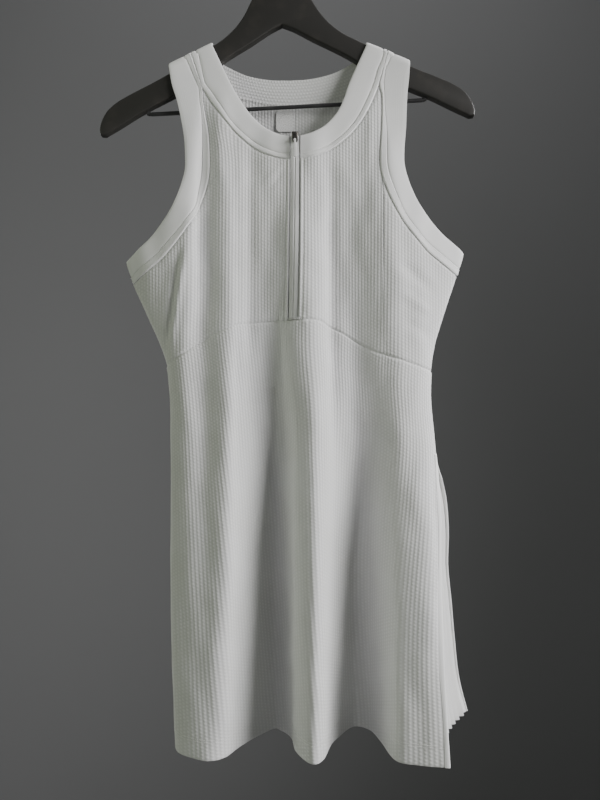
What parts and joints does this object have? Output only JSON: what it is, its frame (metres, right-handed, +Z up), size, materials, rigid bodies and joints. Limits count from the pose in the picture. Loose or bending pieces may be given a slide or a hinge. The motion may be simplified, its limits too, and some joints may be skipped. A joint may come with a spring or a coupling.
{
  "type": "tennis dress on a hanger",
  "caption": "Sleeveless waffle-knit tennis dress with a half zip, smooth neck and armhole bands and a pleated side slit, hanging on a flat arched hanger.",
  "frame": {"origin": "inside top of the hanger's hook, where it rests on a rod", "axes": "+Z up, -Y out of the dress's front, +X to the right of someone facing the front"},
  "size_m": [0.4473, 0.1544, 0.9711],
  "materials": {
    "waffle_knit": "white waffle knit, matt",
    "band_knit": "white smooth knit, slight sheen",
    "pleated_knit": "white smooth pleated knit",
    "zip_tape": "white woven tape",
    "label_tape": "white satin tape, bare",
    "slider_metal": "dark gunmetal",
    "pull_tab": "white, satin",
    "hanger_black": "black, satin",
    "hook_steel": "polished",
    "bar_metal": "black"
  },
  "bodies": {
    "dress": {"bodice_front_left": "waffle_knit", "bodice_front_right": "waffle_knit", "bodice_back": "waffle_knit", "skirt_front": "waffle_knit", "skirt_back": "waffle_knit", "side_pleats": "pleated_knit", "neckband": "band_knit", "armband_left": "band_knit", "armband_right": "band_knit", "zip_tape_left": "zip_tape", "zip_tape_right": "zip_tape", "zip_slider": "slider_metal", "neck_label": "label_tape", "hanger_board": "hanger_black", "hanger_hook": "hook_steel", "hanger_bar": "bar_metal"},
    "pull": {"zip_pull": "pull_tab"}
  },
  "joints": [
    {"name": "pull_swing", "type": "hinge", "parent": "dress", "child": "pull", "pos_m": [0.0218, -0.0201, -0.2716], "axis": [-1, 0, 0], "range_deg": [0, 165]}
  ]
}
